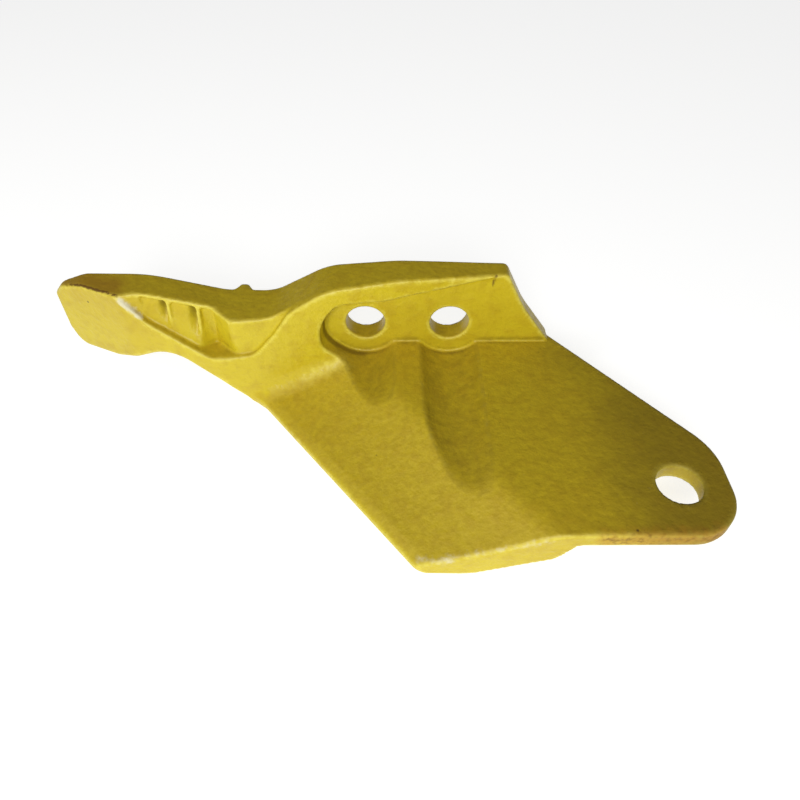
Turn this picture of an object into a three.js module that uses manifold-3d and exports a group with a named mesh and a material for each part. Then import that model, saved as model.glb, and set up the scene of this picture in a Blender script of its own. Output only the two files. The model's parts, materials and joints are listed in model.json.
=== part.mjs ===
// Side cutter for the corner of an excavator bucket: one steel casting, L-shaped in section.
// Its flange is bolted to the bucket's lip, its wing to the inner face of the side plate, and its
// chisel tooth reaches forward of the lip. The wing's leading edge is a thick blade that is bent
// outwards, in front of the side plate.
//
// Millimetres. The origin lies midway between the two lip bolts, on the flange's outer face.
// +X runs from the tooth back along the lip, -Y into the bucket, and +Z from the wing to the bolts.
import * as THREE from "three";
import { mergeVertices } from "three/addons/utils/BufferGeometryUtils.js";
import Module from "manifold-3d";

const wasm = await Module();
wasm.setup();

// Bolts: 3/4 inch, in clearance holes, with room for a socket on each nut.
const BOLT_HOLE_D = 21.5;
const LIP_BOLT_PITCH = 46;
const SOCKET_R = 20.5;
const SOCKET_DRAFT = 0.006; // the groove gets narrower into the bucket, so that it leaves the mould
const SEAT_FLARE = 3.5; // the front seat's wall opens out to its rim

// Flange, bolted to the lip.
const FLANGE_T = 12;
const FLANGE_TOP = 33;
const FLANGE_SLOPE = 0.126; // the inner face rises from the nut seats to the shoulder
const SEAT_MARGIN = 6.5; // flat left beyond the last socket
const REAR_MARGIN = 29; // from the last bolt to the flange's upper rear corner
const REAR_RUN = 28; // how far the hollow rear end runs back on its way down to the wing
const REAR_HOLLOW = 3;

// Tooth: a chisel on a flat spade.
const TOOTH_REACH = 190;
const EDGE_T = 3;
const EDGE_TOP = 13;
const EDGE_BOTTOM = -10;
const SPADE_LENGTH = 40;
const SPADE_T = 20.5;
const SPADE_TOP = 24;
const SPADE_BOTTOM = -22;
const WAIST_BOTTOM = -8.5;

// Neck and shoulder, between the tooth and the flange.
const NECK_TOP = 13.5;
const NECK_RECESS = 1.6; // the neck's upper part lies back from the inner face
const SHOULDER_X = -101;
const SHOULDER_DROP = 30; // the shoulder's heel lies this far below the wing's inner face

// Locating lug on the tooth's outer face, which butts on the front edge of the lip.
const LUG_X = -89;
const LUG_WIDTH = 10;
const LUG_TOP_WIDTH = 4;
const LUG_HEIGHT = 5;

// Ribbed pocket in the tooth's inner face.
const POCKET_END = -96.5;
const POCKET_RIM_Y = -17.5;
const POCKET_FLOOR_Y = -12.5;
const POCKET_RIM_W = 3.5;
const POCKET_FILLET = 13;
const RIB_COUNT = 2;
const RIB_W = 3;

// Wing, bolted to the side plate by the hole in its ear.
const WING_Z = -13.2;
const WING_T = 9;
const WING_DEPTH = 139;
const WING_WIDTH = 97.4; // square to the leading edge, from the blade's crease to the rear edge
const WING_REAR = 148;
const EAR_HOLE_INSET = 24;
const EAR_HOLE_RISE = 27.5;
const EAR_R = 24;
const EAR_SHOULDER_R = 36;
const GROOVE_FLOOR_T = 6.5; // metal left under the socket grooves
const STEP_RUN = 22; // the step for the side plate moves back this far down the wing

// Blade, along the wing's leading edge.
const RAKE = Math.atan2(0.625, 0.781); // direction of the leading edge's normal, from +X
const BLADE_CREASE = -38.1; // where the blade starts to bend, along that normal
const BLADE_WIDTH = 48.5;
const BLADE_BEND = 0.72;
const BLADE_SAG = 0.0042;
const BLADE_T = 20;
const BELLY_WIDTH = 27; // from the crease to the deepest line of the blade's back
const BELLY_DROP = 13.4;
const NOSE_T = 8;
const NOSE_DEPTH = 6.5;
const CORNER_R = 14;

const FAR = 400; // longer than the part, for cuts that go right through

// Places that follow from these sizes.
const lipBolts = [-LIP_BOLT_PITCH / 2, LIP_BOLT_PITCH / 2];
const seatEnd = lipBolts[1] + SOCKET_R + SEAT_MARGIN;
const flangeRear = lipBolts[1] + REAR_MARGIN;
const spadeX = -TOOTH_REACH + SPADE_LENGTH;
const webZ = -SOCKET_R - GROOVE_FLOOR_T;
const heelZ = WING_Z - SHOULDER_DROP;

// ---------------------------------------------------------------- helpers

// A closed outline of [x, y, corner radius] points, as a shape with true arcs at its corners.
function outline(corners) {
  const shape = new THREE.Shape();
  const count = corners.length;
  corners.forEach(([x, y, wanted = 0], i) => {
    const here = new THREE.Vector2(x, y);
    const [px, py] = corners[(i + count - 1) % count];
    const [nx, ny] = corners[(i + 1) % count];
    const back = new THREE.Vector2(px, py).sub(here);
    const on = new THREE.Vector2(nx, ny).sub(here);
    const cosine = back.clone().normalize().dot(on.clone().normalize());
    const half = Math.acos(THREE.MathUtils.clamp(cosine, -1, 1)) / 2;
    const room = 0.49 * Math.min(back.length(), on.length());
    const cut = Math.min(wanted / Math.tan(half), room);
    if (cut < 1e-6) {
      i ? shape.lineTo(x, y) : shape.moveTo(x, y);
      return;
    }
    const start = here.clone().add(back.setLength(cut));
    const end = here.clone().add(on.setLength(cut));
    const r = cut * Math.tan(half);
    const inward = start.clone().add(end).multiplyScalar(0.5).sub(here);
    const middle = here.clone().add(inward.setLength(r / Math.sin(half)));
    const first = start.clone().sub(middle);
    const last = end.clone().sub(middle);
    i ? shape.lineTo(start.x, start.y) : shape.moveTo(start.x, start.y);
    shape.absarc(middle.x, middle.y, r, first.angle(), last.angle(), first.cross(last) < 0);
  });
  shape.closePath();
  return shape;
}

// A closed geometry as a solid that can be joined and cut.
function solid(geometry) {
  const plain = geometry.clone();
  plain.deleteAttribute("normal");
  plain.deleteAttribute("uv");
  const merged = mergeVertices(plain, 1e-4);
  return new wasm.Manifold(
    new wasm.Mesh({
      numProp: 3,
      vertProperties: merged.attributes.position.array,
      triVerts: new Uint32Array(merged.index.array),
    }),
  );
}

function extruded(shape, from, to) {
  const geometry = new THREE.ExtrudeGeometry(shape, {
    depth: to - from,
    bevelEnabled: false,
    curveSegments: 10,
  });
  return geometry.translate(0, 0, from);
}

// Plan outlines are drawn in X-Y and extruded along Z.
const alongZ = (shape, low = -FAR, high = FAR) => solid(extruded(shape, low, high));

// Front outlines are drawn in X-Z and extruded along Y.
const upright = (shape, low, high) => extruded(shape, -high, -low).rotateX(Math.PI / 2);
const alongY = (shape, low = -FAR, high = FAR) => solid(upright(shape, low, high));

// Sections of the blade are drawn in (normal, Z) and extruded along the leading edge.
const alongEdge = (shape) => solid(upright(shape, -FAR, FAR).rotateZ(RAKE));

// A round bar along Y, with its radius at each end.
function bar(from, to, radiusFrom, radiusTo = radiusFrom) {
  const geometry = new THREE.CylinderGeometry(radiusTo, radiusFrom, to - from, 64);
  return geometry.translate(0, (from + to) / 2, 0);
}

const joined = (solids) => solids.reduce((all, one) => all.add(one));

// ---------------------------------------------------------------- tooth, neck and flange

// The inner face slopes from the nut seats out to the shoulder of the tooth.
const innerFaceAt = (x) => -FLANGE_T - Math.max(0, seatEnd - x) * FLANGE_SLOPE;

// Thickness of the casting, seen from above the bolts.
function bodyPlan() {
  return outline([
    [-TOOTH_REACH, 0],
    [LUG_X - LUG_WIDTH / 2, 0],
    [LUG_X - LUG_TOP_WIDTH / 2, LUG_HEIGHT, 1],
    [LUG_X + LUG_TOP_WIDTH / 2, LUG_HEIGHT, 1],
    [LUG_X + LUG_WIDTH / 2, 0],
    [FAR, 0],
    [FAR, -FLANGE_T],
    [seatEnd, -FLANGE_T],
    [SHOULDER_X, innerFaceAt(SHOULDER_X), 30],
    [spadeX, -SPADE_T],
    [-TOOTH_REACH, -EDGE_T],
  ]);
}

// Outline of the tooth, neck and flange, seen along the bolts.
function bodyFront() {
  const rearFoot = flangeRear + REAR_RUN;
  return outline([
    [-TOOTH_REACH, EDGE_TOP, 3],
    [-TOOTH_REACH + 20, SPADE_TOP, 14],
    [spadeX + 12, SPADE_TOP, 80],
    [LUG_X - 9, NECK_TOP + 0.5, 28],
    [LUG_X + 17, NECK_TOP, 24],
    [lipBolts[0] - 19, FLANGE_TOP - 3, 36],
    [lipBolts[0] + 18, FLANGE_TOP, 80],
    [flangeRear, FLANGE_TOP - 1.5, 6],
    [flangeRear + REAR_RUN / 2 - REAR_HOLLOW, (FLANGE_TOP + WING_Z) / 2, 60],
    [rearFoot, WING_Z],
    [rearFoot, WING_Z - WING_T * 0.7],
    [seatEnd, WING_Z - WING_T * 0.7],
    [seatEnd, webZ],
    [LUG_X + 35, webZ],
    [LUG_X + 11, heelZ - 1],
    [LUG_X + 1, heelZ],
    [SHOULDER_X - 2, (heelZ + WAIST_BOTTOM) / 2, 34],
    [spadeX + 22, WAIST_BOTTOM, 20],
    [spadeX + 1, (SPADE_BOTTOM + WAIST_BOTTOM) / 2 - 3, 3],
    [spadeX - 12, SPADE_BOTTOM, 20],
    [-TOOTH_REACH + 4, SPADE_BOTTOM + 0.5, 7],
    [-TOOTH_REACH, EDGE_BOTTOM, 3],
  ]);
}

const body = () => alongZ(bodyPlan()).intersect(alongY(bodyFront()));

// ---------------------------------------------------------------- wing and blade

// Section of the wing and blade, square to the leading edge.
function wingSection() {
  const steps = 6;
  const bentWidth = BLADE_WIDTH - NOSE_DEPTH;
  const drop = (d) => BLADE_BEND * d - BLADE_SAG * d * d;
  const bend = [];
  for (let i = 0; i <= steps; i++) {
    const d = (bentWidth * i) / steps;
    bend.push([BLADE_CREASE - d, WING_Z - drop(d)]);
  }
  const noseZ = WING_Z - drop(bentWidth);
  return outline([
    [FAR, WING_Z],
    ...bend,
    [BLADE_CREASE - BLADE_WIDTH, noseZ - 0.6 * NOSE_T, 3.5],
    [BLADE_CREASE - bentWidth - 2, noseZ - NOSE_T - 1.5, 4],
    [BLADE_CREASE - BELLY_WIDTH, WING_Z - BLADE_T - BELLY_DROP, 16],
    [BLADE_CREASE + 3, WING_Z - BLADE_T],
    [BLADE_CREASE + 9, WING_Z - WING_T],
    [FAR, WING_Z - WING_T],
  ]);
}

// A place on a line parallel to the leading edge, that far along its normal.
const onLine = (distance, y) => (distance - y * Math.sin(RAKE)) / Math.cos(RAKE);

// Outline of the wing, seen from above.
function wingPlan() {
  const rear = BLADE_CREASE + WING_WIDTH;
  const front = BLADE_CREASE - BLADE_WIDTH;
  const earTop = (rear - WING_REAR * Math.cos(RAKE)) / Math.sin(RAKE);
  return outline([
    [onLine(front, 0), 0],
    [onLine(rear, 0), 0],
    [WING_REAR, earTop, EAR_SHOULDER_R],
    [WING_REAR, -WING_DEPTH, EAR_R],
    [onLine(front, -WING_DEPTH), -WING_DEPTH, CORNER_R],
  ]);
}

// The wing is thicker under the socket grooves, in front of the step for the side plate.
function web() {
  return alongZ(
    outline([
      [onLine(BLADE_CREASE, 0), 0],
      [seatEnd, 0],
      [seatEnd + STEP_RUN, -WING_DEPTH],
      [onLine(BLADE_CREASE, -WING_DEPTH), -WING_DEPTH],
    ]),
    webZ,
    WING_Z,
  );
}

// The blade stops under the neck, on the line of the tooth's lower edge.
function bladeLimit() {
  const low = heelZ - 11;
  return outline([
    [SHOULDER_X - 3, heelZ + 20],
    [LUG_X + 1, heelZ],
    [LUG_X + 9, low],
    [FAR, low],
    [FAR, FLANGE_TOP],
    [SHOULDER_X - 3, FLANGE_TOP],
  ]);
}

function wing() {
  return alongEdge(wingSection())
    .intersect(alongZ(wingPlan()))
    .intersect(alongY(bladeLimit()))
    .add(web());
}

// ---------------------------------------------------------------- cuts

// Nut seats parallel to the lip, and the grooves that let a socket reach the nuts.
function nutSeats() {
  const flat = alongY(
    outline([
      [lipBolts[0], WING_Z],
      [FAR, WING_Z],
      [FAR, SOCKET_R],
      [lipBolts[0], SOCKET_R],
    ]),
    -FAR,
    -FLANGE_T,
  );
  const narrow = SOCKET_R - WING_DEPTH * SOCKET_DRAFT;
  const grooves = lipBolts.map((x) =>
    solid(bar(-FLANGE_T - WING_DEPTH, -FLANGE_T, narrow, SOCKET_R).translate(x, 0, 0)),
  );
  const rimY = innerFaceAt(lipBolts[0] - SOCKET_R);
  const rimR = SOCKET_R + SEAT_FLARE;
  const rim = solid(
    bar(rimY - 1, -FLANGE_T - 2, rimR, SOCKET_R).translate(lipBolts[0], 0, 0),
  ).intersect(
    alongY(outline([[-FAR, WING_Z], [lipBolts[0], WING_Z], [lipBolts[0], FAR], [-FAR, FAR]])),
  );
  return joined([flat, ...grooves, rim]);
}

function boltHoles() {
  const hole = () => bar(-FAR, FAR, BOLT_HOLE_D / 2);
  const ear = hole().rotateX(Math.PI / 2);
  ear.translate(WING_REAR - EAR_HOLE_INSET, -WING_DEPTH + EAR_HOLE_RISE, 0);
  return joined([...lipBolts.map((x) => solid(hole().translate(x, 0, 0))), solid(ear)]);
}

// The pocket's lower edge, from the spade down to its closed end.
const pocketStart = spadeX + 1;
const pocketLength = POCKET_END - pocketStart;
const ledge = [
  [pocketStart, SPADE_TOP - 1],
  [pocketStart + 0.23 * pocketLength, NECK_TOP - 2],
  [POCKET_END - 0.2 * pocketLength, WAIST_BOTTOM],
  [POCKET_END, WAIST_BOTTOM],
];

// Height of the pocket's lower edge at a place along it.
function ledgeAt(x) {
  const i = Math.max(1, ledge.findIndex(([lx]) => lx >= x));
  const [[x0, z0], [x1, z1]] = [ledge[i - 1], ledge[i]];
  return z0 + ((z1 - z0) * (x - x0)) / (x1 - x0);
}

// Height of the tooth's top edge, which falls from the spade to the neck.
function topAt(x) {
  const start = spadeX + 12;
  const share = THREE.MathUtils.clamp((x - start) / (LUG_X - 9 - start), 0, 1);
  return THREE.MathUtils.lerp(SPADE_TOP, NECK_TOP + 0.5, share);
}

// One hollow between two ribs, with its sides at these places.
function cell(left, right) {
  const sill = RIB_W / 3;
  return alongY(
    outline([
      [left, ledgeAt(left) + sill],
      [right, ledgeAt(right) + sill],
      [right, topAt(right) - POCKET_RIM_W],
      [left, Math.max(topAt(left) - POCKET_RIM_W, ledgeAt(left) + 2 * sill)],
    ]),
    -FAR,
    POCKET_FLOOR_Y,
  );
}

// The face above the ledge lies back: as the pocket's rim on the tooth, and as a recess on the neck.
function pocket() {
  const end = POCKET_END + POCKET_FILLET - 3;
  const back = innerFaceAt(end) + NECK_RECESS;
  const slant = POCKET_RIM_Y - back;
  const neckEnd = lipBolts[0] - SOCKET_R - SEAT_FLARE;
  const depth = alongZ(
    outline([
      [pocketStart - 1, -FAR],
      [pocketStart - 1, -SPADE_T],
      [pocketStart + 10, POCKET_RIM_Y, 8],
      [end - slant, POCKET_RIM_Y, POCKET_FILLET],
      [end, back, POCKET_FILLET],
      [neckEnd, innerFaceAt(neckEnd) + NECK_RECESS],
      [neckEnd, -FAR],
    ]),
  );
  const above = alongY(
    outline([
      ...ledge,
      [LUG_X + 7, WAIST_BOTTOM + 1, 12],
      [(LUG_X + neckEnd) / 2 + 4, NECK_TOP, 20],
      [neckEnd, FLANGE_TOP - 8],
      [neckEnd, FAR],
      [pocketStart - 1, FAR],
    ]),
  );
  let cut = depth.intersect(above);
  const first = pocketStart + 6;
  const pitch = (POCKET_END - first) / (RIB_COUNT + 1);
  for (let i = 0; i <= RIB_COUNT; i++) {
    const left = first + i * pitch + RIB_W / 2;
    cut = cut.add(cell(left, left + pitch - RIB_W));
  }
  return cut;
}

// ---------------------------------------------------------------- the casting

function meshOf(name, shape, material) {
  const { vertProperties, triVerts, numProp } = shape.getMesh();
  const positions = new Float32Array((vertProperties.length / numProp) * 3);
  for (let i = 0; i < positions.length / 3; i++) {
    positions.set(vertProperties.subarray(i * numProp, i * numProp + 3), i * 3);
  }
  const geometry = new THREE.BufferGeometry();
  geometry.setAttribute("position", new THREE.BufferAttribute(positions, 3));
  geometry.setIndex(new THREE.BufferAttribute(new Uint32Array(triVerts), 1));
  geometry.computeVertexNormals();
  const mesh = new THREE.Mesh(geometry, material);
  mesh.name = name;
  return mesh;
}

const yellowPaint = new THREE.MeshStandardMaterial({
  color: 0xb9a32b,
  roughness: 0.45,
  metalness: 0.0,
});

const casting = body().add(wing()).subtract(pocket()).subtract(nutSeats()).subtract(boltHoles());

const part = new THREE.Group();
part.add(meshOf("cutter_casting", casting, yellowPaint));

export default part;
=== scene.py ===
# Side cutter for the corner of an excavator bucket, painted yellow and not yet bolted on: one steel casting
# with a chisel tooth, a flange for the lip, a wing for the side plate and a flared blade.
# Metres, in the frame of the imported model: +X back along the lip, -Y into the bucket, +Z upwards.
import json
import math

import bpy
import numpy as np
from mathutils import Euler, Matrix, Vector


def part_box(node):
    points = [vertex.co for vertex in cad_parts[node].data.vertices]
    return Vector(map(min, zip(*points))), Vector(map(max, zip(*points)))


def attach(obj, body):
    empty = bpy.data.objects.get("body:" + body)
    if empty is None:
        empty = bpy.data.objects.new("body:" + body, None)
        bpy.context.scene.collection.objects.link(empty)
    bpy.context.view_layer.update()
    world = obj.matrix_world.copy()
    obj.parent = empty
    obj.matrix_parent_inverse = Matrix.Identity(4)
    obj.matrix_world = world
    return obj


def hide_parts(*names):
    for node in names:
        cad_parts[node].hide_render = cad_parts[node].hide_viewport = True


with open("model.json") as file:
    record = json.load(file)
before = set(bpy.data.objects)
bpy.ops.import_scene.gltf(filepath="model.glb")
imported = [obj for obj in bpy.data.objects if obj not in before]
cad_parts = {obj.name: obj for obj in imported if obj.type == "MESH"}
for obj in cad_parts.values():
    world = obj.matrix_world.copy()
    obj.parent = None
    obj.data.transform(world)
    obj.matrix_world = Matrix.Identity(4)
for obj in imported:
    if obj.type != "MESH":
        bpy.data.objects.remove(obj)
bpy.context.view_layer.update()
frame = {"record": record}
MM = 0.001

# ------------------------------------------------------------------------------- the steel casting
# Low-alloy steel, poured in a sand mould and shot-blasted, so every edge is round, every inner corner
# has a fillet, and flat faces wander a little. Three bolt holes are cored in it and nothing is welded
# on: the bolts and nuts belong to the bucket.

# Sizes in millimetres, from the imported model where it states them.
low, high = (np.array(corner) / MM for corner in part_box("cutter_casting"))
mounts = {m["name"]: np.array(m["pos_m"]) / MM for m in frame["record"]["mounts"]}
openings = {o["name"]: np.array(o["box_m"]) / MM for o in frame["record"]["physics"]["openings"]}

TIP_X, LUG_Y, REAR_X, NEAR_Y = low[0], high[1], high[0], low[1]
SEAT_Y = mounts["lip_nut_seat"][1]
WING_Z = mounts["ear_nut_seat"][2]
WING_BACK_Z = mounts["side_plate_seat"][2]
FRONT_BOLT_X = openings["front_lip_hole"].mean(axis=0)[0]
REAR_BOLT_X = openings["rear_lip_hole"].mean(axis=0)[0]
EAR_HOLE = openings["ear_hole"].mean(axis=0)
FAR = 400

# The bolt holes, and the socket that has to fit over each nut.
HOLE_R = 10.75
SOCKET_R = 20.5
SEAT_FLARE = 3.5
SEAT_END = REAR_BOLT_X + SOCKET_R + 6.5

# The flange, the neck with its lug and its waist, and the tooth's spade end.
FLANGE_TOP = high[2]
FLANGE_SLOPE = 0.126
NECK_END = FRONT_BOLT_X - SOCKET_R - SEAT_FLARE
NECK_TOP = 13.5
SHOULDER_X = -101
LUG_X = -89
WAIST_Z = -8.5
HEEL_Z = WING_Z - 30
SPADE_X = TIP_X + 40
SPADE_Y = -20.5
SPADE_TOP = 24
SPADE_BOTTOM = -22
BODY_DRAFT = 0.02
BODY_ROUND = 1.6

# A round corner's chords stay this close to its arc, and it takes at most this share of each side. Below
# the least trim a corner is sharp.
CHORD_ERROR = 0.02
CORNER_SHARE = 0.49
NO_TRIM = 1e-6


def outline(corners):
    """A closed outline of (x, y, corner radius) points, with its round corners as short chords."""
    points = []
    for i, (x, y, *radius) in enumerate(corners):
        here = np.array((x, y), float)
        back = np.array(corners[i - 1][:2], float) - here
        on = np.array(corners[(i + 1) % len(corners)][:2], float) - here
        reach = CORNER_SHARE * min(np.linalg.norm(back), np.linalg.norm(on))
        back /= np.linalg.norm(back)
        on /= np.linalg.norm(on)
        half = math.acos(max(-1.0, min(1.0, float(back @ on)))) / 2
        trim = min((radius[0] if radius else 0) / math.tan(half), reach)
        if trim < NO_TRIM:
            points.append(here)
            continue
        r = trim * math.tan(half)
        middle = here + (back + on) / np.linalg.norm(back + on) * r / math.sin(half)
        start = here + back * trim - middle
        turn = math.pi - 2 * half
        if start[0] * back[1] - start[1] * back[0] > 0:
            turn = -turn
        chord = 2 * math.acos(1 - min(0.5, CHORD_ERROR / r))
        count = max(2, math.ceil(abs(turn) / chord))
        for k in range(count + 1):
            c, s = math.cos(turn * k / count), math.sin(turn * k / count)
            points.append(middle + (start[0] * c - start[1] * s, start[0] * s + start[1] * c))
    return np.array(points)


def inside(u, v, points):
    """Distance from (u, v) to a closed outline, negative inside it."""
    nearest = np.inf
    sign = np.ones(np.broadcast(u, v).shape, bool)
    for (ax, ay), (bx, by) in zip(points, np.roll(points, -1, axis=0)):
        ex, ey = bx - ax, by - ay
        wu, wv = u - ax, v - ay
        t = np.clip((wu * ex + wv * ey) / (ex * ex + ey * ey), 0, 1)
        nearest = np.minimum(nearest, (wu - ex * t) ** 2 + (wv - ey * t) ** 2)
        after, before, left = v >= ay, v < by, ex * wv > ey * wu
        sign ^= (after & before & left) | ~(after | before | left)
    return np.where(sign, 1, -1) * np.sqrt(nearest)


def common(a, b, r):
    """Where both solids are, with a round edge of radius r."""
    u = np.maximum(a + r, 0)
    v = np.maximum(b + r, 0)
    return np.minimum(-r, np.maximum(a, b)) + np.sqrt(u * u + v * v)


def joined(a, b, r):
    """Where either solid is, with a fillet of radius r between them."""
    return -common(-a, -b, r)


def cut(a, b, r):
    """The first solid without the second, with a round edge of radius r."""
    return common(a, -b, r)


def ramp(value, start, end):
    """0 before start and 1 after end, with a smooth rise between them."""
    t = np.clip((value - start) / (end - start), 0, 1)
    return t * t * (3 - 2 * t)


def inner_face(x):
    """Where the inner face lies: it rises from the nut seats to the shoulder."""
    return SEAT_Y - max(0, SEAT_END - x) * FLANGE_SLOPE


BODY_PLAN = outline([
    (TIP_X, 0, 1.4), (LUG_X - 5, 0, 2), (LUG_X - 2, LUG_Y, 2), (LUG_X + 2, LUG_Y, 2), (LUG_X + 5, 0, 2),
    (FAR, 0), (FAR, SEAT_Y), (SEAT_END, SEAT_Y, 40), (NECK_END - 8, inner_face(NECK_END - 8) - 0.8, 60),
    (SHOULDER_X, inner_face(SHOULDER_X) - 1.4, 30),
    (SPADE_X, SPADE_Y, 30), (TIP_X, -3, 1.4),
])
TOOTH_TOP = [(SPADE_X + 12, SPADE_TOP), (LUG_X - 9, NECK_TOP + 0.5)]
BODY_FRONT = outline([
    (TIP_X, 12.5, 3), (TIP_X + 6, 19.5, 10), (TIP_X + 19, 24.2, 14), (*TOOTH_TOP[0], 80),
    (*TOOTH_TOP[1], 30), (LUG_X + 17, NECK_TOP, 24),
    (FRONT_BOLT_X - 19, FLANGE_TOP - 3, 36), (FRONT_BOLT_X + 18, FLANGE_TOP + 0.1, 80),
    (REAR_BOLT_X + 29, FLANGE_TOP - 1.5, 4), (REAR_BOLT_X + 40, (FLANGE_TOP + WING_Z) / 2, 60),
    (REAR_BOLT_X + 57, WING_Z), (REAR_BOLT_X + 57, WING_Z - 6), (FRONT_BOLT_X - 7, WING_Z - 7),
    (LUG_X + 38, WING_Z - 18),
    (LUG_X + 11, HEEL_Z - 1), (LUG_X + 1, HEEL_Z, 3), (SHOULDER_X - 2, (HEEL_Z + WAIST_Z) / 2, 34),
    (SPADE_X + 22, WAIST_Z, 20), (SPADE_X + 1, (SPADE_BOTTOM + WAIST_Z) / 2 - 3, 12),
    (SPADE_X - 12, SPADE_BOTTOM, 20), (TIP_X + 4, SPADE_BOTTOM + 0.5, 8), (TIP_X, -10, 4),
])


def body(x, y, z):
    """Tooth, neck and flange: the plan's thickness inside the front outline, with draft on its edges."""
    edges = inside(x, z, BODY_FRONT) + BODY_DRAFT * np.maximum(0, -y)
    return common(inside(x, y, BODY_PLAN), edges, BODY_ROUND)


# The pocket in the tooth's inner face, three cells between two ribs, and the recess on the neck.
POCKET_START = SPADE_X + 1
POCKET_END = -96.5
POCKET_LENGTH = POCKET_END - POCKET_START
POCKET_RIM_Y = -17.5
END_WALL_X = POCKET_END - 7
FOOT_DEPTH = 4
END_FOOT_DEPTH = 9
RECESS_ROUND = 1.5
FLOOR_ROUND = 0.5
OPEN_TO_RECESS = 40
CELLS = 3
FIRST_CELL = POCKET_START + 9
CELL_PITCH = (POCKET_END + 1 - FIRST_CELL) / CELLS
CELL_DEPTH = 1.6
CELL_DEEP_END = 3.6
LAST_CELL_DEEP_END = 0.4
LAST_CELL_END = POCKET_END - 6
CELL_TOP_WALL = 2.4
CELL_CORNER = 1.5
CELL_ROUND = 1
CELL_BLEND = 0.8
RIB_W = 2
NECK_RECESS = 2.4
LEDGE = [
    (POCKET_START, SPADE_TOP - 2), (POCKET_START + 0.23 * POCKET_LENGTH, NECK_TOP - 5),
    (POCKET_END - 0.2 * POCKET_LENGTH, WAIST_Z - 0.5), (POCKET_END, WAIST_Z - 0.5),
]
recess_y = inner_face(POCKET_END) + NECK_RECESS
RIM_PLAN = outline([
    (POCKET_START - 1, -FAR), (POCKET_START - 1, SPADE_Y), (POCKET_START + 10, POCKET_RIM_Y, 12),
    (END_WALL_X, POCKET_RIM_Y, 8), (POCKET_END + 4.5, recess_y, 6),
    (NECK_END, inner_face(NECK_END) + NECK_RECESS), (NECK_END + 40, inner_face(NECK_END + 40) - 2),
    (NECK_END + 40, -FAR),
])
RIM_FRONT = outline([
    LEDGE[0], (*LEDGE[1], 20), (*LEDGE[2], 14), (LUG_X + 6, WAIST_Z, 9), (LUG_X + 18, NECK_TOP - 9, 16),
    (LUG_X + 28, FLANGE_TOP - 14, 24), (NECK_END, FLANGE_TOP - 5.5, 20),
    (NECK_END + 12, FLANGE_TOP + 2), (NECK_END + 12, FAR), (POCKET_START - 1, FAR),
])


def ledge_z(x):
    """The height of the ledge along the pocket's lower side."""
    return np.interp(x, *zip(*LEDGE))


def top_z(x):
    """The height of the tooth's top above the pocket."""
    return np.interp(x, *zip(*TOOTH_TOP))


def pocket(x, y, z):
    """The space of the pocket and of the recess on the neck."""
    face = np.interp(x, (SPADE_X, SHOULDER_X), (SPADE_Y, inner_face(SHOULDER_X)))
    foot_depth = FOOT_DEPTH + END_FOOT_DEPTH * ramp(x, END_WALL_X - 9, END_WALL_X)
    foot = np.minimum(face + foot_depth, POCKET_RIM_Y)
    rise = np.clip((z - ledge_z(x)) / (top_z(x) - ledge_z(x)), 0, 1)
    # The pocket's sloping floor, which gives way to the recess past the end wall.
    crest = foot + (POCKET_RIM_Y - foot) * rise + OPEN_TO_RECESS * ramp(x, END_WALL_X, POCKET_END + 20)
    space = common(inside(x, y, RIM_PLAN), inside(x, z, RIM_FRONT), RECESS_ROUND)
    space = common(space, y - crest, FLOOR_ROUND)
    for i in range(CELLS):
        left = FIRST_CELL + i * CELL_PITCH + RIB_W / 2
        right = min(left + CELL_PITCH - RIB_W, LAST_CELL_END)
        left_top = max(top_z(left) - CELL_TOP_WALL, ledge_z(left) + 1)
        window = outline([
            (left, ledge_z(left) - 2), (right, ledge_z(right) - 2),
            (right, top_z(right) - CELL_TOP_WALL, CELL_CORNER), (left, left_top, CELL_CORNER),
        ])
        window_field = common(inside(x, z, window), inside(x, z, RIM_FRONT), FLOOR_ROUND)
        deep_end = CELL_DEEP_END if i < CELLS - 1 else LAST_CELL_DEEP_END
        depth = CELL_DEPTH + deep_end * ramp(x, left + 0.5 * CELL_PITCH, right)
        pad = crest + depth * ramp(rise, 0.05, 0.7)
        space = joined(space, common(window_field, y - pad, CELL_ROUND), CELL_BLEND)
    return space


# The wing, and the blade in front of its raked crease. Distances are from the crease, square to it.
RAKE = math.atan2(0.625, 0.781)
CREASE = -38.1
WING_REACH = 97.4
BLADE_REACH = 43.2
NOSE_REACH = 48.5
BLADE_BEND = 0.72
BLADE_SAG = 0.0042
BEND_SOFTNESS = 5
WEB_Z = -SOCKET_R - 6.5
WING_ROUND = 1.3
PLATE_ROUND = 1.5
BLADE_ROUND = 3


def on_line(distance, y):
    """A place on a line parallel to the leading edge."""
    return (distance - y * math.sin(RAKE)) / math.cos(RAKE)


NOSE_Z = WING_Z - (BLADE_BEND * BLADE_REACH - BLADE_SAG * BLADE_REACH**2)
BLADE_BACK = outline([
    (FAR, FAR), (CREASE - BLADE_REACH, FAR), (CREASE - BLADE_REACH, NOSE_Z + 0.3),
    (CREASE - NOSE_REACH, NOSE_Z - 4.6, 3.5), (CREASE - 44, NOSE_Z - 9.5, 4),
    (CREASE - 27, WING_Z - 33.4, 16), (CREASE + 3, WING_Z - 20, 6),
    (CREASE + 9, WING_BACK_Z, 3), (FAR, WING_BACK_Z),
])
EAR_TOP_Y = (CREASE + WING_REACH - REAR_X * math.cos(RAKE)) / math.sin(RAKE)
WING_PLAN = outline([
    (on_line(CREASE - FAR / 4, 0), 0), (on_line(CREASE + WING_REACH, 0), 0), (REAR_X, EAR_TOP_Y, 36),
    (REAR_X, NEAR_Y, 24), (on_line(CREASE - NOSE_REACH, NEAR_Y), NEAR_Y, 14),
    (on_line(CREASE - FAR / 4, 0), -0.1),
])
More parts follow.
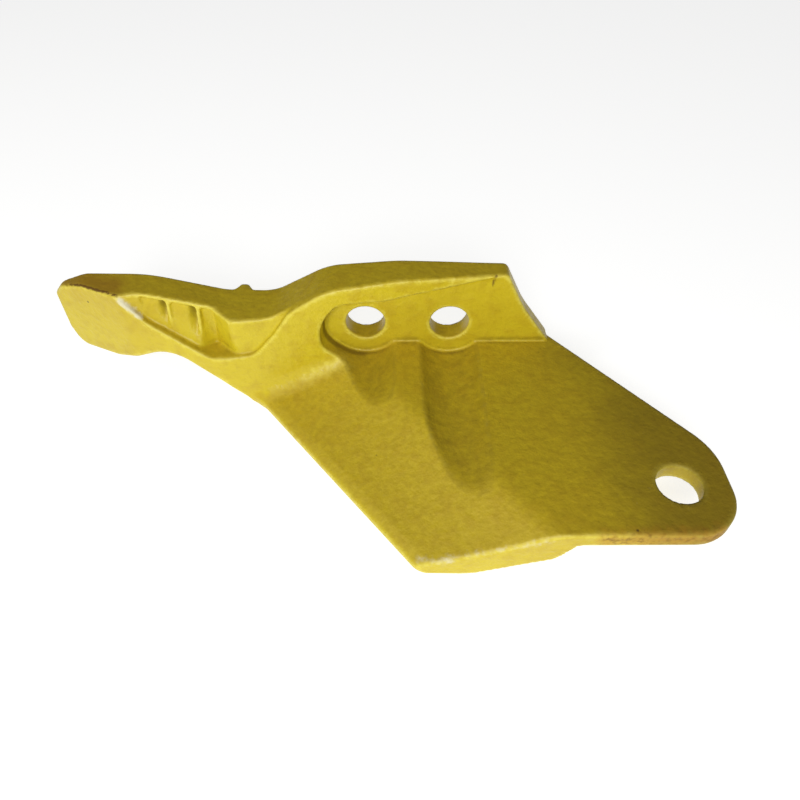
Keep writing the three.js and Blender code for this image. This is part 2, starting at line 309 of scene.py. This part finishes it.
WEB_PLAN = outline([
    (on_line(CREASE, 0), 0), (SEAT_END, 0), (SEAT_END + 22, NEAR_Y), (on_line(CREASE, NEAR_Y), NEAR_Y),
])
BLADE_LIMIT = outline([
    (SHOULDER_X + 6, WING_Z + 4), (LUG_X + 5, HEEL_Z), (LUG_X + 9.5, HEEL_Z - 12), (FAR, HEEL_Z - 12),
    (FAR, FAR), (SHOULDER_X + 6, FAR),
])


def wing(x, y, z):
    """The wing's flat and, in front of its crease, the blade that bends down and away from it."""
    normal = x * math.cos(RAKE) + y * math.sin(RAKE)
    past = CREASE - normal
    bent = (past + np.sqrt(past * past + BEND_SOFTNESS**2)) / 2
    slope = BLADE_BEND - 2 * BLADE_SAG * bent
    upper = (z - WING_Z + BLADE_BEND * bent - BLADE_SAG * bent * bent) / np.sqrt(1 + slope * slope)
    section = common(upper, inside(normal, z, BLADE_BACK), WING_ROUND)
    plate = common(section, inside(x, y, WING_PLAN), PLATE_ROUND)
    web = common(upper, common(inside(x, y, WEB_PLAN), WEB_Z - z, BLADE_ROUND), WING_ROUND)
    return common(np.minimum(plate, web), inside(x, z, BLADE_LIMIT), BLADE_ROUND)


SEAT_RISE = 0.17
SEAT_ROUND = 1


def seat(x, y, z):
    """The flat sunk into the inner face for the nuts. Its upper wall rises as it runs out to the rear."""
    top = SOCKET_R + SEAT_RISE * np.maximum(0, x - FRONT_BOLT_X - 10)
    return common(common(y - SEAT_Y, z - top, SEAT_ROUND), FRONT_BOLT_X - x, SEAT_ROUND)


SOCKET_DRAFT = 0.006
GROOVE_ROUND = 1.2


def socket_groove(x, y, z, bolt_x, flare):
    """The round space that a socket needs over one nut. It can flare out towards the tooth."""
    from_seat = SEAT_Y - y
    wall = 0.6 + 0.4 * ramp(from_seat, 1, 10)
    opening = flare * wall * ramp(bolt_x - x, 2, 16) * ramp(z, WING_Z - 4, WING_Z + 8)
    radius = SOCKET_R - SOCKET_DRAFT * np.maximum(0, from_seat) + opening
    return common(np.hypot(x - bolt_x, z) - radius, y - SEAT_Y, GROOVE_ROUND)


# The rest of the cast edges and fillets, and a radius so small that the edge is sharp.
POCKET_ROUND = 1.4
SEAT_RIM_ROUND = 0.7
HOLE_ROUND = 0.8
WING_FILLET = 2.5
SHANK_FILLET = 6
SHARP = 0.01


def casting(x, y, z):
    """Distance to the casting's skin, negative in the metal."""
    solid = cut(body(x, y, z), pocket(x, y, z), POCKET_ROUND)
    solid = cut(solid, seat(x, y, z), SEAT_RIM_ROUND)
    # The fillet is wider along the shank, and it fades out towards the lip face and its lowest edge.
    fade = ramp(-y, 10, 16) * ramp(z, -49, -44)
    fillet = WING_FILLET + SHANK_FILLET * ramp(-x, 20, 60)
    solid = joined(solid, wing(x, y, z), fade * fillet + SHARP)
    # A groove meets the flange's seat with a sharp edge, and the web with a round one.
    edge = SHARP + GROOVE_ROUND * ramp(-y, 12.3, 15)
    solid = cut(solid, socket_groove(x, y, z, FRONT_BOLT_X, SEAT_FLARE), edge)
    solid = cut(solid, socket_groove(x, y, z, REAR_BOLT_X, 0), edge)
    for bolt_x in (FRONT_BOLT_X, REAR_BOLT_X):
        solid = cut(solid, np.hypot(x - bolt_x, z) - HOLE_R, HOLE_ROUND)
    return cut(solid, np.hypot(x - EAR_HOLE[0], y - EAR_HOLE[1]) - HOLE_R, HOLE_ROUND)


def skin(field, start, step):
    """Vertices and quads of the surface where a field on a grid crosses zero, facing outwards."""
    metal = field < 0
    count = np.zeros(field.size)
    total = np.zeros((3, field.size))
    quads = []
    for axis in range(3):
        before = [slice(None)] * 3
        after = [slice(None)] * 3
        before[axis] = slice(None, -1)
        after[axis] = slice(1, None)
        at = np.array(np.nonzero(metal[tuple(before)] != metal[tuple(after)]))
        step_to = np.zeros((3, 1), int)
        step_to[axis] = 1
        a, b = field[tuple(at)], field[tuple(at + step_to)]
        point = at.astype(float)
        point[axis] += a / (a - b)
        corners = []
        for u, v in ((0, 0), (1, 0), (1, 1), (0, 1)):
            cell = at.copy()
            cell[(axis + 1) % 3] -= u
            cell[(axis + 2) % 3] -= v
            ids = np.ravel_multi_index(tuple(cell), field.shape)
            corners.append(ids)
            count += np.bincount(ids, minlength=field.size)
            for k in range(3):
                total[k] += np.bincount(ids, weights=point[k], minlength=field.size)
        ring = np.array(corners).T
        ring[a > 0] = ring[a > 0][:, ::-1]
        quads.append(ring)
    used = np.nonzero(count)[0]
    index = np.zeros(field.size, int)
    index[used] = np.arange(len(used))
    points = (total[:, used] / count[used]).T * step + start
    return points, index[np.concatenate(quads)]


# How often the points are pulled, how far off the slope is felt (mm), and the least slope (squared) that a
# pull is worked out from.
PULLS = 2
PROBE = 0.1
LEAST_SLOPE = 0.25


def pulled_to_surface(points, step):
    """The points moved onto the exact surface along the field's own gradient."""
    for _ in range(PULLS):
        x, y, z = points.T
        here = casting(x, y, z)
        slopes = [casting(*(points + offset).T) - here for offset in np.eye(3) * PROBE]
        gradient = np.array(slopes).T / PROBE
        length = np.maximum(np.sum(gradient**2, axis=1), LEAST_SLOPE)
        move = -here[:, None] * gradient / length[:, None]
        points = points + np.clip(move, -step / 2, step / 2)
    return points


# About the finest grid that keeps the piece under 200,000 triangles.
GRID = 1.15
axes = [np.arange(low[i] - 3 * GRID, high[i] + 3 * GRID, GRID) for i in range(3)]
gx, gy, gz = np.meshgrid(*axes, indexing="ij", sparse=True)
points, quads = skin(casting(gx, gy, gz), [axis[0] for axis in axes], GRID)
points = pulled_to_surface(points, GRID)

mesh = bpy.data.meshes.new("side_cutter_casting")
mesh.from_pydata((points * MM).tolist(), [], quads.tolist())
mesh.polygons.foreach_set("use_smooth", [True] * len(mesh.polygons))
mesh.update()
cutter = bpy.data.objects.new("side_cutter_casting", mesh)
bpy.context.scene.collection.objects.link(cutter)


# ------------------------------------------------------------------------------- yellow enamel
# Alkyd enamel, sprayed in one coat over the shot-blasted cast skin and dried in air. It is semi-gloss,
# the sand's grain shows through it, and it is thin on sharp edges, which are also painted lighter as a
# highlight. Handling has left dust on top, rust along edges and bare steel where pieces rubbed in the
# crate. Painted shade darkens the top faces as well, the hollows, the grooves and the wing towards the
# ear, and painted highlights lie along the shank's fillet, the pocket's end wall and the blade's nose and
# near edge.
normals = np.zeros(len(points) * 3)
mesh.vertex_normals.foreach_get("vector", normals)
normals = normals.reshape(-1, 3)


def neighbours_mean(values):
    """The mean of the values at the vertices next to each one."""
    total = np.zeros_like(values)
    count = np.zeros(len(values))
    for a, b in ((quads, np.roll(quads, -1, axis=1)), (quads, np.roll(quads, 1, axis=1))):
        np.add.at(total, a.ravel(), values[b.ravel()])
        np.add.at(count, a.ravel(), 1)
    return total / (count if values.ndim == 1 else count[:, None])


def near(width, *stops):
    """1 on the line through the stops, falling to 0 over the width."""
    stops = np.array(stops, float)
    distance = np.inf
    for start, end in zip(stops[:-1], stops[1:]):
        line = end - start
        t = np.clip((points - start) @ line / (line @ line), 0, 1)
        distance = np.minimum(distance, np.linalg.norm(points - start - t[:, None] * line, axis=1))
    return np.exp(-(distance / width) ** 2)


# How sharply the skin bends (per mm) where the enamel is thinnest and the edge is painted lighter as a
# highlight, and how far out a hollow is felt (mm). A hollow's painted shade starts once it is deep enough,
# and then it is soon full.
EDGE_BEND = 0.22
NOOK = 6
HOLLOW_GAIN = 1.4
HOLLOW_START = 0.5
bend = 2 * np.sum((points - neighbours_mean(points)) * normals, axis=1) / GRID**2
bend = neighbours_mean(neighbours_mean(bend))
nook = 1 - casting(*(points + normals * NOOK).T) / NOOK
hollow_shade = np.clip(nook * HOLLOW_GAIN - HOLLOW_START, 0, 1)
facing_up = ramp(normals[:, 2], 0.25, 0.95)
# The shank's fillet gets a painted highlight, and no painted shade.
shank_fillet = near(9, (-88, -20, -46), (-38, -25, -19))

# The step round the front groove's rim and the walls of both grooves, which get painted shade.
RIM_R = SOCKET_R + 2.3
turns = np.radians(np.linspace(125, 265, 12))
rim = [(FRONT_BOLT_X + RIM_R * math.cos(a), SEAT_Y - 3, RIM_R * math.sin(a)) for a in turns]
crescent = near(2.6, *rim)
in_groove = sum(
    ramp(SOCKET_R + 1.5 - np.hypot(points[:, 0] - bolt_x, points[:, 2]), 0, 1)
    for bolt_x in (FRONT_BOLT_X, REAR_BOLT_X)
) * ramp(SEAT_Y - points[:, 1], 1, 3) * (points[:, 2] < 0)

# How strong the painted highlight along the shank's fillet and the painted shade on the rim's step and in
# the grooves are. The painted shade on the wing starts and is full at these X, and is weaker on the faces
# that don't look up.
SHANK_FILLET_HIGHLIGHT = 0.8
RIM_SHADE = 0.9
GROOVE_SHADE = 0.33
EAR_SHADE_START = 60
EAR_SHADE_FULL = 140
EAR_SHADE_ON_SIDES = 0.75
coat_masks = {
    # Thin enamel on convex edges, painted lighter there as a highlight too, and a painted highlight along
    # the shank's fillet.
    "edge": np.clip(bend / EDGE_BEND, 0, 1) + SHANK_FILLET_HIGHLIGHT * shank_fillet * ramp(normals[:, 2], 0.05, 0.45),
    # Dust and painted shade on the faces that look up.
    "dust_and_top_shade": facing_up,
    # Painted shade, growing towards the ear.
    "shade_toward_ear": ramp(points[:, 0], EAR_SHADE_START, EAR_SHADE_FULL) * (EAR_SHADE_ON_SIDES + (1 - EAR_SHADE_ON_SIDES) * facing_up),
    # Painted shade in the hollows, on the front groove's rim step and in both grooves.
    "hollow_shade": hollow_shade * (1 - shank_fillet) + RIM_SHADE * crescent + GROOVE_SHADE * in_groove,
}

# Marks from handling, and painted highlights: the mask that each adds to, how strong and how wide (mm)
# it is, and where it runs.
EAR_FOOT_Z = WING_Z - 4
MARKS = [
    ("stain", 1, 9, [(TIP_X + 8, -2, 22), (SPADE_X - 4, -12, SPADE_TOP)]),
    ("bare_steel_and_highlight", 0.9, 2.4, [(SPADE_X + 2, SPADE_Y, SPADE_TOP - 3), (SPADE_X + 10, SPADE_Y - 1, SPADE_TOP - 12)]),
    # Painted highlights in bare steel's pale colour: along the blade's nose and near edge, the pocket's end
    # wall and the shank's fillet.
    ("bare_steel_and_highlight", 0.4, 3, [(3, NEAR_Y + 3, -38), (16, NEAR_Y, -35)]),
    ("bare_steel_and_highlight", 0.4, 2.5, [(16, NEAR_Y, -33), (60, NEAR_Y, -18)]),
    ("bare_steel_and_highlight", 0.5, 1.8, [(POCKET_END + 1, -20, -4), (POCKET_END + 1, -20, 7)]),
    ("bare_steel_and_highlight", 0.3, 3.5, [(-80, -22, -42), (-40, -25, -20)]),
    ("bloom", 1, 6, [(84, NEAR_Y, EAR_FOOT_Z), (REAR_X - 12, NEAR_Y + 2, EAR_FOOT_Z)]),
    ("rust", 1, 1, [(TIP_X + 8, -6, 21), (TIP_X + 19, -11, 24), (SPADE_X + 3, SPADE_Y, SPADE_TOP + 0.3)]),
    ("rust", 0.3, 5, [(84, NEAR_Y, EAR_FOOT_Z), (REAR_X - 14, NEAR_Y + 2, EAR_FOOT_Z)]),
    ("rust", 0.6, 0.9, [(SEAT_END - 5, SEAT_Y, 31.5), (SEAT_END - 6, SEAT_Y, 25)]),
]
for name, strength, width, stops in MARKS:
    coat_masks[name] = coat_masks.get(name, 0) + strength * near(width, *stops)
coat_masks["stain"] = coat_masks["stain"] * facing_up
for name, values in coat_masks.items():
    mesh.attributes.new(name, "FLOAT", "POINT").data.foreach_set("value", values.astype(np.float32))


def linear(hex_colour):
    """An sRGB hex colour as linear RGBA."""
    srgb = [int(hex_colour[i:i + 2], 16) / 255 for i in (0, 2, 4)]
    return tuple(c / 12.92 if c < 0.04045 else ((c + 0.055) / 1.055) ** 2.4 for c in srgb) + (1,)


def add(tree, kind, links, out=0, **settings):
    """Adds a node with its settings and its inputs' links or values, and gives one of its outputs."""
    node = tree.nodes.new(kind)
    for name, value in settings.items():
        setattr(node, name, value)
    for name, value in links.items():
        if isinstance(value, bpy.types.NodeSocket):
            tree.links.new(value, node.inputs[name])
        else:
            node.inputs[name].default_value = value
    return node.outputs[out]


ENAMEL = linear("D0BC22")
# Dusty enamel, also used for painted shade on the top faces.
DUSTY_AND_SHADE_ENAMEL = linear("B2911C")
# Pitted enamel, also used for painted shade on the top faces.
PITTED_AND_SHADE_ENAMEL = linear("9E8412")
# Thin enamel on edges, which also paints a highlight there.
THIN_ENAMEL_AND_HIGHLIGHT = linear("E2D352")
# Painted shade in the hollows and on the wing towards the ear.
SHADE_BROWN = linear("665008")
BROWN_STAIN = linear("8F5E12")
# Bare steel, also used for painted highlights.
BARE_STEEL_AND_HIGHLIGHT = linear("E0DCC4")
RUST = linear("5C3A0E")
RUST_BLOOM = linear("B4701C")
GRIT = linear("2E2412")

# Each coat's mask (None is all over), the size in mm of its pattern, how ragged its edge is, where it
# starts and is full, how much it covers, and its colour.
COATS = [
    (None, 60, 1.0, 0.35, 0.7, 0.35, DUSTY_AND_SHADE_ENAMEL),
    (None, 7, 1.0, 0.45, 0.7, 0.3, DUSTY_AND_SHADE_ENAMEL),
    (None, 2.4, 1.0, 0.5, 0.75, 0.15, PITTED_AND_SHADE_ENAMEL),
    # Lighter thin enamel on edges, partly a painted highlight.
    ("edge", 3, 1.2, 0.8, 1.6, 0.8, THIN_ENAMEL_AND_HIGHLIGHT),
    # Dust, and painted shade on the top faces.
    ("dust_and_top_shade", 9, 0.6, 0.3, 1.3, 0.42, DUSTY_AND_SHADE_ENAMEL),
    ("dust_and_top_shade", 3.2, 1.4, 1.4, 2.0, 0.36, PITTED_AND_SHADE_ENAMEL),
    # Painted shade on the wing towards the ear.
    ("shade_toward_ear", 20, 0.6, 0.3, 1.3, 0.6, SHADE_BROWN),
    # Painted shade in the hollows and the grooves.
    ("hollow_shade", 6, 0.6, 0.35, 1.2, 0.7, SHADE_BROWN),
    ("stain", 6, 0.7, 0.5, 1.4, 0.55, BROWN_STAIN),
    ("bloom", 4, 0.9, 0.7, 1.5, 0.4, RUST_BLOOM),
    # Bare steel, partly painted highlights.
    ("bare_steel_and_highlight", 2.5, 0.9, 0.6, 1.4, 0.8, BARE_STEEL_AND_HIGHLIGHT),
    ("rust", 2.2, 0.9, 0.6, 1.1, 0.9, RUST),
]
# Bare enamel's roughness, what a full coat from the dust on adds to it, and the first coat in the list that
# does.
GLOSS = 0.36
DIRT_ROUGHNESS = 0.3
DUST_COAT = 4

# In millimetres: the orange peel, the way from one place for a grain of grit to the next, a grain's solid
# and faded radius, and the depth of the cast relief. A fifth of the places hold a grain.
PEEL = 1.0
GRIT_SPACING = 14
GRIT_R = 0.42
GRIT_FADED_R = 0.84
GRAIN_DEPTH = 0.32
GRIT_SHARE = 0.2
GRIT_COVER = 0.7

# How high the broad waves and the peel are beside the grain, and how much light the enamel throws back.
WAVE_HEIGHT = 1.5
PEEL_HEIGHT = 0.25
SPECULAR = 0.35

enamel = bpy.data.materials.new("alkyd_enamel_on_cast_steel")
enamel.use_nodes = True
tree = enamel.node_tree
tree.nodes.clear()
place = add(tree, "ShaderNodeTexCoord", {}, "Object")
colour = ENAMEL
amounts = []
patterns = []
for mask_name, size, ragged, start, full, cover, finish in COATS:
    pattern = add(tree, "ShaderNodeTexNoise", {"Vector": place, "Scale": 1 / (size * MM), "Detail": 3.0})
    where = add(tree, "ShaderNodeAttribute", {}, "Fac", attribute_name=mask_name) if mask_name else 0.0
    ragged_edge = add(tree, "ShaderNodeMath", {0: pattern, 1: ragged, 2: where}, operation="MULTIPLY_ADD")
    amount = add(
        tree, "ShaderNodeMapRange",
        {"Value": ragged_edge, "From Min": start, "From Max": full, "To Min": 0.0, "To Max": cover},
        interpolation_type="SMOOTHSTEP",
    )
    colour = add(tree, "ShaderNodeMix", {0: amount, 6: colour, 7: finish}, 2, data_type="RGBA")
    amounts.append(amount)
    patterns.append(pattern)

# A few grains of moulding sand that stayed in the skin, dark and a little over a millimetre wide.
cells = {"Vector": place, "Scale": 1 / (GRIT_SPACING * MM)}
to_grain = add(tree, "ShaderNodeTexVoronoi", cells, "Distance")
cell_number = add(tree, "ShaderNodeSeparateColor", {0: add(tree, "ShaderNodeTexVoronoi", cells, "Color")})
few = add(tree, "ShaderNodeMath", {0: cell_number, 1: 1 - GRIT_SHARE}, operation="GREATER_THAN")
round_grain = add(tree, "ShaderNodeMapRange", {
    "Value": to_grain, "From Min": GRIT_R / GRIT_SPACING, "From Max": GRIT_FADED_R / GRIT_SPACING,
    "To Min": GRIT_COVER, "To Max": 0.0,
})
grit = add(tree, "ShaderNodeMath", {0: few, 1: round_grain}, operation="MULTIPLY")
colour = add(tree, "ShaderNodeMix", {0: grit, 6: colour, 7: GRIT}, 2, data_type="RGBA")

# Gloss: bare enamel is semi-gloss, and each coat from the dust on makes it rougher.
roughness = GLOSS
for amount in amounts[DUST_COAT:]:
    roughness = add(
        tree, "ShaderNodeMath", {0: amount, 1: DIRT_ROUGHNESS, 2: roughness},
        operation="MULTIPLY_ADD", use_clamp=True,
    )

# Relief: the cast grain and broader waves, which share the paint's patterns, and the sprayed orange peel.
broad_wave, grain = patterns[1], patterns[2]
peel = add(tree, "ShaderNodeTexNoise", {"Vector": place, "Scale": 1 / (PEEL * MM), "Detail": 1.0})
height = add(tree, "ShaderNodeMath", {0: broad_wave, 1: WAVE_HEIGHT, 2: grain}, operation="MULTIPLY_ADD")
height = add(tree, "ShaderNodeMath", {0: peel, 1: PEEL_HEIGHT, 2: height}, operation="MULTIPLY_ADD")
relief = add(tree, "ShaderNodeBump", {"Distance": GRAIN_DEPTH * MM, "Height": height})
shader = add(
    tree, "ShaderNodeBsdfPrincipled",
    {"Base Color": colour, "Roughness": roughness, "Normal": relief, "Specular IOR Level": SPECULAR},
)
output = tree.nodes.new("ShaderNodeOutputMaterial")
tree.links.new(shader, output.inputs["Surface"])
mesh.materials.append(enamel)

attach(cutter, "root")
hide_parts("cutter_casting")

# ------------------------------------------------------------------------------- floor
# A matt white board that the casting stands on. It glows like a photographer's light table, so that the
# shadow on it stays faint. It belongs to the studio and rides on no body.
BOARD_HALF = 4
BOARD_COLOUR = linear("BDBDBB")
BOARD_ROUGHNESS = 0.8
BOARD_GLOW = 0.78
WHITE = linear("FFFFFF")

floor_z = points[:, 2].min() * MM
corners = [(BOARD_HALF * x, BOARD_HALF * y, floor_z) for x, y in ((-1, -1), (1, -1), (1, 1), (-1, 1))]
floor_mesh = bpy.data.meshes.new("studio_floor")
floor_mesh.from_pydata(corners, [], [(0, 1, 2, 3)])
floor = bpy.data.objects.new("studio_floor", floor_mesh)
bpy.context.scene.collection.objects.link(floor)
board = bpy.data.materials.new("white_board")
board.use_nodes = True
board_shader = board.node_tree.nodes["Principled BSDF"]
board_shader.inputs["Base Color"].default_value = BOARD_COLOUR
board_shader.inputs["Roughness"].default_value = BOARD_ROUGHNESS
board_shader.inputs["Emission Color"].default_value = WHITE
board_shader.inputs["Emission Strength"].default_value = BOARD_GLOW
floor_mesh.materials.append(board)

# ------------------------------------------------------------------------------- lights
# A large softbox in front of the casting and above it, and a narrow strip light far out on its left, past
# the tooth. A dim white surround fills the shadows.
LIT_PLACE = (0, -0.05, 0)
SURROUND = 0.08


def softbox(name, place, size, power):
    """A rectangular area light that faces the casting: place and size in metres, power in watts."""
    light = bpy.data.lights.new(name, "AREA")
    light.shape = "RECTANGLE"
    light.size, light.size_y = size
    light.energy = power
    lamp = bpy.data.objects.new(name, light)
    lamp.location = place
    lamp.rotation_euler = (Vector(LIT_PLACE) - Vector(place)).to_track_quat("-Z", "Y").to_euler()
    bpy.context.scene.collection.objects.link(lamp)


softbox("front_softbox", (-0.08, -0.95, 0.61), (0.5, 0.4), 8.9)
softbox("left_strip", (-0.75, -0.35, 0.75), (0.12, 0.3), 1.8)
world = bpy.data.worlds.new("studio")
world.use_nodes = True
world.node_tree.nodes["Background"].inputs["Color"].default_value = WHITE
world.node_tree.nodes["Background"].inputs["Strength"].default_value = SURROUND
bpy.context.scene.world = world

# ------------------------------------------------------------------------------- camera
# A wide lens held close to the casting, about 0.35 m away on the wing's side. It looks down at about 46
# degrees and leans a little to one side. Its place is in metres and its angles are in degrees.
LENS = 29.25
SENSOR_WIDTH = 36
CAMERA_PLACE = (-0.01046, -0.28924, 0.22791)
CAMERA_ANGLES = (43.795, -0.727, -0.722)

lens = bpy.data.cameras.new("camera")
lens.lens = LENS
lens.sensor_width = SENSOR_WIDTH
camera = bpy.data.objects.new("camera", lens)
turned = Euler([math.radians(angle) for angle in CAMERA_ANGLES]).to_matrix().to_4x4()
camera.matrix_world = Matrix.Translation(CAMERA_PLACE) @ turned
bpy.context.scene.collection.objects.link(camera)
bpy.context.scene.camera = camera
bpy.context.scene.view_settings.view_transform = "Standard"
